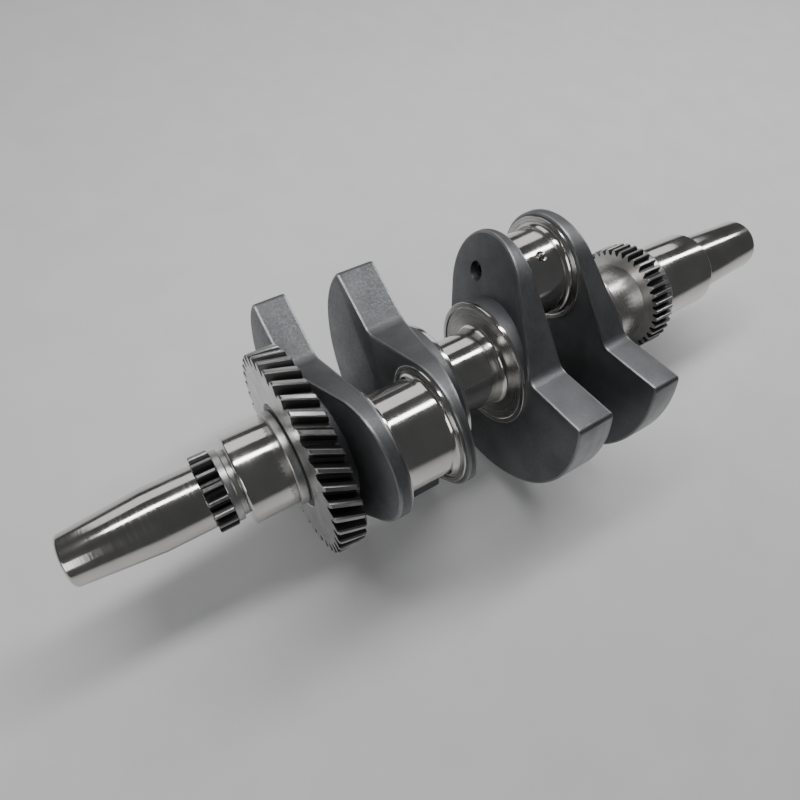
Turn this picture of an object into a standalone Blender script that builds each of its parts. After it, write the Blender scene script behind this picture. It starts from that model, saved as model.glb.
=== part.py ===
"""Crankshaft of a two-cylinder engine with its crankpins a quarter turn apart.

The main axis runs along X, from the drive end (-X) to the flywheel end (+X). The shaft lies on its
counterweights as it settles on a flat bench: crankpin 1 points up and towards -Y, crankpin 2 up and
towards +Y. The origin is under the middle of the shaft's length, on the surface it lies on.

The forging is built from its named sections (journals, crankpins, webs, shaft ends). The gears,
collars, keys and oil gallery plugs are the pieces fitted to it. Every solid keeps a 0.3 mm gap to
its neighbour. Stations are distances along the main axis from the middle of the centre journal.
"""

import math

import bmesh
import bpy
from mathutils import Matrix, Vector

MM = 0.001
GAP = 0.3 * MM
ROUND = 40

# Driving dimensions of the crank
THROW = 36.75 * MM
COUNTERWEIGHT_RADIUS = 73.5 * MM
PIN_ANGLE = math.radians(45)
SHAFT_START = -202.5 * MM
SHAFT_END = 228.0 * MM

# Journals and crankpins
FRONT_MAIN_RADIUS = 22.5 * MM
CENTRE_MAIN_RADIUS = 21.0 * MM
REAR_MAIN_RADIUS = 22.5 * MM
PIN_RADIUS = 24.0 * MM
PIN_SHOULDER_RADIUS = 29.5 * MM
PIN_SHOULDER = 1.2 * MM
MAIN_SHOULDER_RADIUS = 35.5 * MM
MAIN_SHOULDER = 1.8 * MM
FILLET = 2.5 * MM

# Stations of the webs and the sections between them
CENTRE_HALF = 18.0 * MM
INNER_WEB = 21.5 * MM
PIN_LENGTH = 28.5 * MM
OUTER_WEB = 17.0 * MM
INNER_WEB_END = CENTRE_HALF + INNER_WEB
OUTER_WEB_START = INNER_WEB_END + PIN_LENGTH
OUTER_WEB_END = OUTER_WEB_START + OUTER_WEB

# Outline of a web: lobe round the crankpin, straight flanks, counterweight sector
LOBE_RADIUS = 31.4 * MM
FLANK_HALF_WIDTH = 39.0 * MM
SECTOR_HALF_ANGLE = math.radians(72)
NOTCH_RADIUS = 46.5 * MM
NOTCH_ANGLE = math.radians(79)
NOTCH_FILLET = 8.0 * MM
SECTOR_CORNER = 2.5 * MM
BEVEL_START = -6.0 * MM
BEVEL_END = 68.0 * MM
INNER_BEVEL_DEPTH = 17.5 * MM
OUTER_BEVEL_DEPTH = 11.0 * MM
BOSS_LENGTH = 12.0 * MM
BOSS_SET_BACK = 0.1 * MM

# Drive end
TAPER_TIP_RADIUS = 12.4 * MM
NOSE_RADIUS = 15.7 * MM
TAPER_TOP = -165.0 * MM
NOSE_END = -141.6 * MM
FRONT_SEAT_RADIUS = 11.5 * MM
TIMING_GEAR_WIDTH = 8.9 * MM
FRONT_COLLAR_RADIUS = 17.8 * MM
FRONT_COLLAR_STEP_RADIUS = 16.2 * MM
FRONT_COLLAR_STEP = 3.4 * MM
FRONT_MAIN_START = -126.0 * MM
FRONT_MAIN_END = -104.0 * MM
SPIGOT_RADIUS = 18.0 * MM
COLLAR_RADIUS = 24.3 * MM
GEAR_START = -99.3 * MM
GEAR_SEAT_RADIUS = 27.0 * MM
BOLT_BORE_RADIUS = 6.5 * MM
BOLT_BORE_DEPTH = 36.0 * MM
BOLT_COUNTERSINK = 8.5 * MM

# Flywheel end
REAR_MAIN_END = 117.5 * MM
REAR_SEAT_RADIUS = 19.0 * MM
REAR_OIL_HOLE = 103.0 * MM
REAR_GEAR_END = 130.2 * MM
REAR_COLLAR_RADIUS = 27.5 * MM
REAR_COLLAR_END = 136.8 * MM
SEAL_LAND_RADIUS = 22.6 * MM
SEAL_LAND_END = 176.0 * MM
FLYWHEEL_TAPER_RADIUS = 18.0 * MM
FLYWHEEL_TIP_RADIUS = 15.7 * MM
END_CHAMFER = 2.6 * MM

# Gears
PRESSURE_ANGLE = math.radians(20)
BALANCER_TEETH = 38
BALANCER_MODULE = 2.4 * MM
BALANCER_HELIX = math.radians(24)
TIMING_TEETH = 17
TIMING_MODULE = 2.0 * MM
REAR_TEETH = 40
REAR_MODULE = 1.5 * MM

# Keys and oil plugs
KEY_WIDTH = 5.0 * MM
KEY_DEPTH = 2.5 * MM
SMALL_KEY_DEPTH = 1.5 * MM
KEY_MARGIN = 1.5 * MM
BALANCER_KEY_START = 3.0 * MM
BALANCER_KEY_END = 2.0 * MM
FLYWHEEL_KEY_START = 14.0 * MM
FLYWHEEL_KEY_LENGTH = 16.0 * MM
FLYWHEEL_KEY_ANGLE = math.radians(-120)
PLUG_HOLE_RADIUS = 5.2 * MM
PLUG_RADIUS = 4.9 * MM
PLUG_LENGTH = 3.5 * MM
PLUG_DISTANCE = 48.0 * MM
PLUG_OFFSET = 6.0 * MM
PLUG_RECESS = 3.0 * MM
OIL_HOLE_RADIUS = 2.2 * MM
OIL_HOLE_DEPTH = 7.0 * MM
PIN_OIL_HOLE_ANGLE = math.radians(60)

# Edge breaks and how finely the round shapes are stepped
SMALL_CHAMFER = 0.8 * MM
CHAMFER = 1.0 * MM
LARGE_CHAMFER = 2.0 * MM
FILLET_STEPS = 2
LOBE_STEPS = 11
NOTCH_STEPS = 4
SECTOR_STEPS = 16
SMALL_ROUND = 20
OVERLAP = 2.0 * MM

MIDDLE = (SHAFT_START + SHAFT_END) / 2
PIN_1 = Vector((0, -math.sin(PIN_ANGLE), math.cos(PIN_ANGLE)))
PIN_2 = Vector((0, math.sin(PIN_ANGLE), math.cos(PIN_ANGLE)))


def clear_scene():
    for old in list(bpy.data.objects):
        bpy.data.objects.remove(old)


def make_material(name, colour, roughness, metallic=1.0):
    material = bpy.data.materials.new(name)
    material.use_nodes = True
    shader = material.node_tree.nodes["Principled BSDF"]
    shader.inputs["Base Color"].default_value = (*colour, 1)
    shader.inputs["Roughness"].default_value = roughness
    shader.inputs["Metallic"].default_value = metallic
    return material


def finish_object(name, mesh, material, axis, smooth_angle=35):
    """An object of this mesh on the crank's axis, shaded smooth below the given edge angle."""
    mesh.materials.append(material)
    mesh.shade_smooth()
    mesh.set_sharp_from_angle(angle=math.radians(smooth_angle))
    piece = bpy.data.objects.new(name, mesh)
    piece.parent = axis
    bpy.context.scene.collection.objects.link(piece)
    return piece


def mesh_from(name, build):
    """A mesh filled by build(bm), with its faces pointing out."""
    bm = bmesh.new()
    build(bm)
    bmesh.ops.recalc_face_normals(bm, faces=bm.faces)
    mesh = bpy.data.meshes.new(name)
    bm.to_mesh(mesh)
    bm.free()
    return mesh


def ring_of_points(bm, station, radius, centre, segments):
    turn = 2 * math.pi / segments
    places = [(math.cos(i * turn), math.sin(i * turn)) for i in range(segments)]
    return [bm.verts.new((station, centre.y + radius * y, centre.z + radius * z)) for y, z in places]


def join_rings(bm, first, second):
    for i in range(len(first)):
        j = (i + 1) % len(first)
        bm.faces.new((first[i], first[j], second[j], second[i]))


def turned(name, profile, bore=None, centre=None, segments=ROUND):
    """A solid turned about X from (station, radius) pairs, with flat ends or a straight bore."""
    centre = centre or Vector((0, 0, 0))

    def build(bm):
        rings = [ring_of_points(bm, x, r, centre, segments) for x, r in profile]
        for first, second in zip(rings, rings[1:]):
            join_rings(bm, first, second)
        if bore is None:
            bm.faces.new(rings[0])
            bm.faces.new(rings[-1])
            return
        inner = [ring_of_points(bm, x, bore, centre, segments) for x in (profile[0][0], profile[-1][0])]
        join_rings(bm, rings[0], inner[0])
        join_rings(bm, inner[0], inner[1])
        join_rings(bm, rings[-1], inner[1])

    return mesh_from(name, build)


def extruded(name, outline, start, end, twist=0.0, layers=1):
    """A prism along X of a (y, z) outline, turned by twist from its start to its end."""

    def build(bm):
        rings = []
        for k in range(layers + 1):
            share = k / layers
            x = start + (end - start) * share
            turn = Matrix.Rotation(twist * share, 2)
            rings.append([bm.verts.new((x, *(turn @ Vector(point)))) for point in outline])
        for first, second in zip(rings, rings[1:]):
            join_rings(bm, first, second)
        bm.faces.new(rings[0])
        bm.faces.new(rings[-1])

    return mesh_from(name, build)


def add_cut(piece, other_mesh, axis, label, operation="DIFFERENCE"):
    """Cuts the mesh out of the piece, or joins it on, with an exact Boolean."""
    other = bpy.data.objects.new(f"{piece.name}_{label}", other_mesh)
    other.parent = axis
    other.hide_render = True
    other.display_type = "WIRE"
    bpy.context.scene.collection.objects.link(other)
    step = piece.modifiers.new(label, "BOOLEAN")
    step.operation = operation
    step.solver = "EXACT"
    step.object = other


def box_mesh(name, low, high):
    def build(bm):
        size = Vector(high) - Vector(low)
        place = Matrix.Translation((Vector(low) + Vector(high)) / 2)
        bmesh.ops.create_cube(bm, size=1, matrix=place @ Matrix.Diagonal((*size, 1)))

    return mesh_from(name, build)


def radial_hole(name, station, centre, direction, surface_radius):
    """A cutter for an oil hole that runs straight in from a round surface."""

    def build(bm):
        outer = surface_radius + OIL_HOLE_RADIUS
        depth = OIL_HOLE_DEPTH + OIL_HOLE_RADIUS
        middle = Vector((station, 0, 0)) + centre + direction * (outer - depth / 2)
        turn = Vector((0, 0, 1)).rotation_difference(direction).to_matrix().to_4x4()
        bmesh.ops.create_cone(
            bm,
            cap_ends=True,
            segments=16,
            radius1=OIL_HOLE_RADIUS,
            radius2=OIL_HOLE_RADIUS,
            depth=depth,
            matrix=Matrix.Translation(middle) @ turn,
        )

    return mesh_from(name, build)


def fillet_profile(start, end, radius, shoulder, shoulder_radius):
    """Stations and radii of a journal between two thrust shoulders, with a fillet at each."""
    left = [(start, shoulder_radius), (start + shoulder, shoulder_radius)]
    for k in range(FILLET_STEPS + 1):
        angle = math.pi / 2 * k / FILLET_STEPS
        x = start + shoulder + FILLET * (1 - math.cos(angle))
        left.append((x, radius + FILLET * (1 - math.sin(angle))))
    right = [(start + end - x, r) for x, r in reversed(left)]
    return left + right


def arc_points(centre, radius, first, last, steps):
    points = []
    for k in range(steps + 1):
        angle = first + (last - first) * k / steps
        points.append(centre + radius * Vector((math.cos(angle), math.sin(angle))))
    return points


def rounded_corner(before, corner, after, radius, steps):
    """Points of the arc that rounds a corner between two straight edges."""
    to_before = (before - corner).normalized()
    to_after = (after - corner).normalized()
    half = to_before.angle(to_after) / 2
    middle = corner + (to_before + to_after).normalized() * radius / math.sin(half)
    reach = radius / math.tan(half)
    start = corner + to_before * reach - middle
    turn = (corner + to_after * reach - middle).angle_signed(start)
    return [middle + Matrix.Rotation(turn * k / steps, 2) @ start for k in range(steps + 1)]


def web_outline():
    """Half outline of a web as (towards the pin, sideways), mirrored to the full closed loop."""
    lobe = Vector((THROW, 0))
    sector = COUNTERWEIGHT_RADIUS * Vector((-math.cos(SECTOR_HALF_ANGLE), math.sin(SECTOR_HALF_ANGLE)))
    notch = NOTCH_RADIUS * Vector((-math.cos(NOTCH_ANGLE), math.sin(NOTCH_ANGLE)))
    edge = notch - sector
    flank = notch + edge * (FLANK_HALF_WIDTH - notch.y) / edge.y
    reach = lobe - flank
    tangent = math.asin(LOBE_RADIUS / reach.length) + math.atan2(reach.y, reach.x)
    tangent_angle = tangent + math.pi / 2
    touch = lobe + LOBE_RADIUS * Vector((math.cos(tangent_angle), math.sin(tangent_angle)))
    half = arc_points(lobe, LOBE_RADIUS, 0, tangent_angle, LOBE_STEPS)
    half += rounded_corner(touch, flank, sector, NOTCH_FILLET, NOTCH_STEPS)
    around = Vector((-sector.y, sector.x)).normalized()
    half += [sector + edge.normalized() * SECTOR_CORNER, sector + around * SECTOR_CORNER]
    start = math.atan2(half[-1].y, half[-1].x)
    half += arc_points(Vector((0, 0)), COUNTERWEIGHT_RADIUS, start, math.pi, SECTOR_STEPS)[1:]
    mirrored = [Vector((p.x, -p.y)) for p in reversed(half[1:-1])]
    return half + mirrored


def web_mesh(name, start, end, pin, bevel_side, bevel_depth):
    """A web: its outline across the axis, with the lobe bevelled off on one side (-1 or +1)."""
    sideways = Vector((0, pin.z, -pin.y))
    outline = [(pin * p.x + sideways * p.y).yz for p in web_outline()]
    mesh = extruded(name, outline, start, end)
    face = end if bevel_side > 0 else start
    lower = Vector((face, 0, 0)) + pin * BEVEL_START
    upper = Vector((face - bevel_side * bevel_depth, 0, 0)) + pin * BEVEL_END
    outward = (upper - lower).cross(sideways).normalized()
    if outward.x * bevel_side < 0:
        outward = -outward
    bm = bmesh.new()
    bm.from_mesh(mesh)
    everything = bm.verts[:] + bm.edges[:] + bm.faces[:]
    cut = bmesh.ops.bisect_plane(bm, geom=everything, plane_co=lower, plane_no=outward, clear_outer=True)
    edges = [item for item in cut["geom_cut"] if isinstance(item, bmesh.types.BMEdge)]
    bmesh.ops.edgeloop_fill(bm, edges=edges)
    bmesh.ops.recalc_face_normals(bm, faces=bm.faces)
    bm.to_mesh(mesh)
    bm.free()
    return mesh


def gear_outline(teeth, module, helix=0.0):
    """Involute teeth in the plane across the axis, as a closed (y, z) loop."""
    across = module / math.cos(helix)
    pressure = math.atan(math.tan(PRESSURE_ANGLE) / math.cos(helix))
    pitch = across * teeth / 2
    base = pitch * math.cos(pressure)
    root = pitch - 1.25 * module
    tip = pitch + module

    def involute(angle):
        return math.tan(angle) - angle

    def half_angle(radius):
        return math.pi / (2 * teeth) + involute(pressure) - involute(math.acos(min(1, base / radius)))

    flank = [(root, half_angle(max(root, base)) + 0.1 * module / root)]
    flank += [(r, half_angle(r)) for r in (pitch, tip)]
    points = []
    for i in range(teeth):
        middle = 2 * math.pi * i / teeth
        tooth = [(r, middle - a) for r, a in flank] + [(r, middle + a) for r, a in reversed(flank)]
        points += [(r * math.cos(a), r * math.sin(a)) for r, a in tooth]
    return points


def keyway(name, start, end, seat_radius, depth=KEY_DEPTH):
    """Cutter that leaves a gap round a key on a seat of this radius."""
    half = KEY_WIDTH / 2 + GAP
    low = (start - GAP, -half, seat_radius - depth - GAP)
    high = (end + GAP, half, seat_radius + depth + GAP)
    return box_mesh(name, low, high)


def key_mesh(name, start, end, seat_radius, depth=KEY_DEPTH):
    low = (start, -KEY_WIDTH / 2, seat_radius - depth)
    high = (end, KEY_WIDTH / 2, seat_radius + depth)
    return box_mesh(name, low, high)


def build_front(axis, polished, machined, dark):
    """Drive end: taper and seat, timing gear, collar, front journal and its collar."""
    seat_end = FRONT_MAIN_START - GAP
    profile = [
        (SHAFT_START, TAPER_TIP_RADIUS - CHAMFER),
        (SHAFT_START + CHAMFER, TAPER_TIP_RADIUS),
        (TAPER_TOP, NOSE_RADIUS),
        (NOSE_END, NOSE_RADIUS),
        (NOSE_END, FRONT_SEAT_RADIUS),
        (seat_end, FRONT_SEAT_RADIUS),
    ]
    taper = finish_object("drive_taper", turned("drive_taper", profile), polished, axis)
    bore_profile = [
        (SHAFT_START - CHAMFER, BOLT_COUNTERSINK + CHAMFER),
        (SHAFT_START + BOLT_COUNTERSINK - BOLT_BORE_RADIUS, BOLT_BORE_RADIUS),
        (SHAFT_START + BOLT_BORE_DEPTH, BOLT_BORE_RADIUS),
    ]
    add_cut(taper, turned("bolt_bore", bore_profile, segments=SMALL_ROUND), axis, "bolt_bore")

    gear_start = NOSE_END + GAP
    gear_end = gear_start + TIMING_GEAR_WIDTH
    key_start = gear_start + KEY_MARGIN
    key_end = gear_end - KEY_MARGIN
    key_place = (key_start, key_end, FRONT_SEAT_RADIUS, SMALL_KEY_DEPTH)
    add_cut(taper, keyway("timing_keyway", *key_place), axis, "keyway")
    bore = FRONT_SEAT_RADIUS + GAP
    outline = gear_outline(TIMING_TEETH, TIMING_MODULE)
    mesh = extruded("timing_gear", outline, gear_start, gear_end)
    gear = finish_object("timing_gear", mesh, machined, axis)
    bore_cut = [(gear_start - GAP, bore), (gear_end + GAP, bore)]
    add_cut(gear, turned("timing_gear_bore", bore_cut), axis, "bore")
    add_cut(gear, keyway("timing_gear_slot", *key_place), axis, "keyway")
    finish_object("timing_gear_key", key_mesh("timing_gear_key", *key_place), dark, axis)

    ring_start = gear_end + GAP
    step = ring_start + FRONT_COLLAR_STEP
    profile = [
        (ring_start, FRONT_COLLAR_RADIUS),
        (step, FRONT_COLLAR_RADIUS),
        (step, FRONT_COLLAR_STEP_RADIUS),
        (seat_end, FRONT_COLLAR_STEP_RADIUS),
    ]
    finish_object("front_collar", turned("front_collar", profile, bore), machined, axis)

    spigot_end = GEAR_START - GAP
    profile = [
        (FRONT_MAIN_START, FRONT_MAIN_RADIUS - SMALL_CHAMFER),
        (FRONT_MAIN_START + SMALL_CHAMFER, FRONT_MAIN_RADIUS),
        (FRONT_MAIN_END, FRONT_MAIN_RADIUS),
        (FRONT_MAIN_END, SPIGOT_RADIUS),
        (spigot_end, SPIGOT_RADIUS),
    ]
    journal = finish_object("front_main_journal", turned("front_main_journal", profile), polished, axis)
    middle = (FRONT_MAIN_START + FRONT_MAIN_END) / 2
    hole = radial_hole("front_oil_hole", middle, Vector((0, 0, 0)), -PIN_1, FRONT_MAIN_RADIUS)
    add_cut(journal, hole, axis, "oil_hole")
    start = FRONT_MAIN_END + GAP
    profile = [
        (start, COLLAR_RADIUS - SMALL_CHAMFER),
        (start + SMALL_CHAMFER, COLLAR_RADIUS),
        (spigot_end, COLLAR_RADIUS),
    ]
    finish_object("gear_collar", turned("gear_collar", profile, SPIGOT_RADIUS + GAP), machined, axis)


def build_balancer_gear(axis, machined, dark):
    """The helical gear against the first web, its bore and key; returns the web seat's keyway."""
    end = -OUTER_WEB_END - GAP
    start = GEAR_START
    pitch = BALANCER_MODULE * BALANCER_TEETH / 2 / math.cos(BALANCER_HELIX)
    twist = (end - start) * math.tan(BALANCER_HELIX) / pitch
    outline = gear_outline(BALANCER_TEETH, BALANCER_MODULE, BALANCER_HELIX)
    mesh = extruded("balancer_gear", outline, start, end, twist)
    gear = finish_object("balancer_gear", mesh, machined, axis)
    bore = GEAR_SEAT_RADIUS + GAP
    add_cut(gear, turned("balancer_bore", [(start - GAP, bore), (end + GAP, bore)]), axis, "bore")
    key_start = start + BALANCER_KEY_START
    key_end = end - BALANCER_KEY_END
    add_cut(gear, keyway("balancer_slot", key_start, key_end, GEAR_SEAT_RADIUS), axis, "keyway")
    key = key_mesh("balancer_gear_key", key_start, key_end, GEAR_SEAT_RADIUS)
    finish_object("balancer_gear_key", key, dark, axis)
    return keyway("web_1_keyway", key_start, key_end, GEAR_SEAT_RADIUS)


def boss_mesh(face, side):
    """Round boss that carries a thrust shoulder up to just below the web face over its bevel."""
    ends = sorted((face - side * BOSS_SET_BACK, face - side * BOSS_LENGTH))
    return turned("boss", [(x, MAIN_SHOULDER_RADIUS) for x in ends])


def build_webs(axis, forged, seat_keyway):
    """Four webs, bevelled away from their crankpins; the first carries the balancer gear's seat."""
    places = (
        ("web_1", -OUTER_WEB_END, -OUTER_WEB_START, PIN_1, -1, OUTER_BEVEL_DEPTH),
        ("web_2", -INNER_WEB_END, -CENTRE_HALF, PIN_1, 1, INNER_BEVEL_DEPTH),
        ("web_3", CENTRE_HALF, INNER_WEB_END, PIN_2, -1, INNER_BEVEL_DEPTH),
        ("web_4", OUTER_WEB_START, OUTER_WEB_END, PIN_2, 1, OUTER_BEVEL_DEPTH),
    )
    webs = []
    for name, start, end, pin, side, depth in places:
        web = finish_object(name, web_mesh(name, start, end, pin, side, depth), forged, axis)
        face = end if side > 0 else start
        add_cut(web, boss_mesh(face, side), axis, "boss", "UNION")
        webs.append(web)
    seat_profile = [(GEAR_START, GEAR_SEAT_RADIUS), (OVERLAP - OUTER_WEB_END, GEAR_SEAT_RADIUS)]
    add_cut(webs[0], turned("gear_seat", seat_profile), axis, "gear_seat", "UNION")
    add_cut(webs[0], seat_keyway, axis, "keyway")
    return webs[1:3]


def build_oil_plugs(axis, webs, dark):
    """A recessed plug in the bevelled face of each inner web, where its oil gallery starts."""
    slope = INNER_BEVEL_DEPTH / (BEVEL_END - BEVEL_START)
    surface = CENTRE_HALF + (PLUG_DISTANCE - BEVEL_START) * slope
    for number, (web, pin, side) in enumerate(((webs[0], PIN_1, -1), (webs[1], PIN_2, 1)), 1):
        sideways = Vector((0, pin.z, -pin.y))
        centre = pin * PLUG_DISTANCE + sideways * PLUG_OFFSET * side
        near = surface + PLUG_RECESS
        far = near + PLUG_LENGTH
        mouth = surface - 2 * OVERLAP
        hole = sorted([(side * mouth, PLUG_HOLE_RADIUS), (side * (far + GAP), PLUG_HOLE_RADIUS)])
        cutter = turned(f"gallery_{number}", hole, centre=centre, segments=SMALL_ROUND)
        add_cut(web, cutter, axis, "gallery")
        plug = sorted([(side * near, PLUG_RADIUS), (side * far, PLUG_RADIUS)])
        mesh = turned(f"oil_plug_{number}", plug, centre=centre, segments=SMALL_ROUND)
        finish_object(f"oil_plug_{number}", mesh, dark, axis)


def build_journals(axis, polished):
    """Centre journal and the two crankpins, each between its thrust shoulders."""
    half = CENTRE_HALF - GAP
    profile = fillet_profile(-half, half, CENTRE_MAIN_RADIUS, MAIN_SHOULDER, MAIN_SHOULDER_RADIUS)
    centre = finish_object("centre_main_journal", turned("centre_main_journal", profile), polished, axis)
    hole = radial_hole("centre_oil_hole", 0, Vector((0, 0, 0)), -PIN_1, CENTRE_MAIN_RADIUS)
    add_cut(centre, hole, axis, "oil_hole")
    for number, pin, side in ((1, PIN_1, -1), (2, PIN_2, 1)):
        ends = sorted((side * (INNER_WEB_END + GAP), side * (OUTER_WEB_START - GAP)))
        profile = fillet_profile(*ends, PIN_RADIUS, PIN_SHOULDER, PIN_SHOULDER_RADIUS)
        name = f"crankpin_{number}"
        piece = finish_object(name, turned(name, profile, centre=pin * THROW), polished, axis)
        sideways = Vector((0, pin.z, -pin.y))
        direction = pin * math.cos(PIN_OIL_HOLE_ANGLE) - sideways * math.sin(PIN_OIL_HOLE_ANGLE)
        hole = radial_hole(f"pin_{number}_oil_hole", sum(ends) / 2, pin * THROW, direction, PIN_RADIUS)
        add_cut(piece, hole, axis, "oil_hole")


def build_rear(axis, polished, machined, dark):
    """Flywheel end: rear journal and seat, small gear, collar, seal land, taper and key."""
    start = OUTER_WEB_END + GAP
    seat_end = REAR_COLLAR_END
    profile = fillet_profile(start, REAR_MAIN_END, REAR_MAIN_RADIUS, MAIN_SHOULDER, MAIN_SHOULDER_RADIUS)
    profile = profile[: len(profile) // 2]
    profile += [
        (REAR_MAIN_END, REAR_MAIN_RADIUS),
        (REAR_MAIN_END, REAR_SEAT_RADIUS),
        (seat_end, REAR_SEAT_RADIUS),
    ]
    journal = finish_object("rear_main_journal", turned("rear_main_journal", profile), polished, axis)
    hole = radial_hole("rear_oil_hole", REAR_OIL_HOLE, Vector((0, 0, 0)), -PIN_2, REAR_MAIN_RADIUS)
    add_cut(journal, hole, axis, "oil_hole")

    gear_start = REAR_MAIN_END + GAP
    key_start = gear_start + KEY_MARGIN
    key_end = REAR_GEAR_END - KEY_MARGIN
    add_cut(journal, keyway("rear_keyway", key_start, key_end, REAR_SEAT_RADIUS), axis, "keyway")
    bore = REAR_SEAT_RADIUS + GAP
    outline = gear_outline(REAR_TEETH, REAR_MODULE)
    mesh = extruded("oil_pump_gear", outline, gear_start, REAR_GEAR_END)
    gear = finish_object("oil_pump_gear", mesh, machined, axis)
    bore_cut = [(gear_start - GAP, bore), (REAR_GEAR_END + GAP, bore)]
    add_cut(gear, turned("oil_pump_gear_bore", bore_cut), axis, "bore")
    add_cut(gear, keyway("oil_pump_gear_slot", key_start, key_end, REAR_SEAT_RADIUS), axis, "keyway")
    key = key_mesh("oil_pump_gear_key", key_start, key_end, REAR_SEAT_RADIUS)
    finish_object("oil_pump_gear_key", key, dark, axis)

    start = REAR_GEAR_END + GAP
    profile = [
        (start, REAR_COLLAR_RADIUS),
        (REAR_COLLAR_END - LARGE_CHAMFER, REAR_COLLAR_RADIUS),
        (REAR_COLLAR_END, REAR_COLLAR_RADIUS - LARGE_CHAMFER),
    ]
    finish_object("rear_collar", turned("rear_collar", profile, bore), machined, axis)

    profile = [
        (REAR_COLLAR_END + GAP, SEAL_LAND_RADIUS),
        (SEAL_LAND_END - CHAMFER, SEAL_LAND_RADIUS),
        (SEAL_LAND_END, SEAL_LAND_RADIUS - CHAMFER),
    ]
    finish_object("seal_land", turned("seal_land", profile), polished, axis)

    start = SEAL_LAND_END + GAP
    profile = [
        (start, FLYWHEEL_TAPER_RADIUS),
        (SHAFT_END - END_CHAMFER, FLYWHEEL_TIP_RADIUS),
        (SHAFT_END, FLYWHEEL_TIP_RADIUS - END_CHAMFER),
    ]
    taper = finish_object("flywheel_taper", turned("flywheel_taper", profile), polished, axis)
    key_start = start + FLYWHEEL_KEY_START
    key_end = key_start + FLYWHEEL_KEY_LENGTH
    seat = (FLYWHEEL_TAPER_RADIUS + FLYWHEEL_TIP_RADIUS) / 2
    slot = keyway("flywheel_keyway", key_start, key_end, seat)
    key = key_mesh("flywheel_key", key_start, key_end, seat)
    away = Matrix.Rotation(FLYWHEEL_KEY_ANGLE, 4, "X")
    slot.transform(away)
    key.transform(away)
    add_cut(taper, slot, axis, "keyway")
    finish_object("flywheel_key", key, dark, axis)


def main():
    clear_scene()
    axis = bpy.data.objects.new("crank_axis", None)
    axis.location = (-MIDDLE, 0, COUNTERWEIGHT_RADIUS)
    bpy.context.scene.collection.objects.link(axis)
    forged = make_material("forged_steel", (0.17, 0.175, 0.19), 0.55)
    polished = make_material("polished_steel", (0.62, 0.60, 0.58), 0.12)
    machined = make_material("machined_steel", (0.50, 0.50, 0.49), 0.35)
    dark = make_material("dark_steel", (0.08, 0.08, 0.09), 0.5)
    build_front(axis, polished, machined, dark)
    seat_keyway = build_balancer_gear(axis, machined, dark)
    webs = build_webs(axis, forged, seat_keyway)
    build_oil_plugs(axis, webs, dark)
    build_journals(axis, polished)
    build_rear(axis, polished, machined, dark)


main()
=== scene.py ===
"""Studio view of a two-throw crankshaft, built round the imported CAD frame.

Every piece is modelled on the crank's axis: stations along X are measured from the middle of the
centre journal, in metres, and each object sits at the point of the axis its turned surfaces run
round, so that the materials' turning lines follow it.
"""

import math

import bmesh
import bpy
from mathutils import Matrix, Vector


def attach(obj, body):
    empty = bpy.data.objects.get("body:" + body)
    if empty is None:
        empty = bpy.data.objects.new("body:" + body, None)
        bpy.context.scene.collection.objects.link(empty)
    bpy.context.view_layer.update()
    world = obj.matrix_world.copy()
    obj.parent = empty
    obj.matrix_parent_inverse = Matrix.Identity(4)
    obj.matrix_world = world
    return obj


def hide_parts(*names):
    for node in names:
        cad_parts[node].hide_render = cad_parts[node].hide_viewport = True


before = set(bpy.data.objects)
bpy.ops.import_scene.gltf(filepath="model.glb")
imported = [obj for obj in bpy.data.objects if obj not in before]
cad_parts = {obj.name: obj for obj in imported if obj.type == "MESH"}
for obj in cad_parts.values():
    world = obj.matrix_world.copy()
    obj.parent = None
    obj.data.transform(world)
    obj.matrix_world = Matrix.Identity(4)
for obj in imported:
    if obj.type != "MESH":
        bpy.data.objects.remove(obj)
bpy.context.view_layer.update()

MM = 0.001
ROUND = 128

# The crank
THROW = 36.75 * MM
COUNTERWEIGHT_RADIUS = 73.5 * MM
PIN_ANGLE = math.radians(45)
SHAFT_START = -202.5 * MM
SHAFT_END = 228.0 * MM
MIDDLE = (SHAFT_START + SHAFT_END) / 2
PIN_1 = Vector((0, -math.sin(PIN_ANGLE), math.cos(PIN_ANGLE)))
PIN_2 = Vector((0, math.sin(PIN_ANGLE), math.cos(PIN_ANGLE)))
AXIS = Vector((0, 0, 0))

# Journals and crankpins
FRONT_MAIN_RADIUS = 22.5 * MM
CENTRE_MAIN_RADIUS = 21.0 * MM
REAR_MAIN_RADIUS = 22.5 * MM
PIN_RADIUS = 24.0 * MM
PIN_SHOULDER_RADIUS = 29.5 * MM
PIN_SHOULDER = 1.2 * MM
MAIN_SHOULDER_RADIUS = 35.5 * MM
MAIN_SHOULDER = 1.8 * MM
FILLET = 2.5 * MM

# Webs
CENTRE_HALF = 18.0 * MM
INNER_WEB_END = 39.5 * MM
OUTER_WEB_START = 68.0 * MM
OUTER_WEB_END = 85.0 * MM
LOBE_RADIUS = 31.4 * MM
FLANK_HALF_WIDTH = 39.0 * MM
SECTOR_HALF_ANGLE = math.radians(72)
NOTCH_RADIUS = 46.5 * MM
NOTCH_ANGLE = math.radians(79)
NOTCH_FILLET = 8.0 * MM
SECTOR_CORNER = 2.5 * MM
BEVEL_START = -6.0 * MM
BEVEL_END = 68.0 * MM
INNER_BEVEL_DEPTH = 17.5 * MM
OUTER_BEVEL_DEPTH = 11.0 * MM
BOSS_LENGTH = 12.0 * MM
BOSS_PROUD = 0.1 * MM
EDGE_CHAMFER = 1.2 * MM

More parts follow.
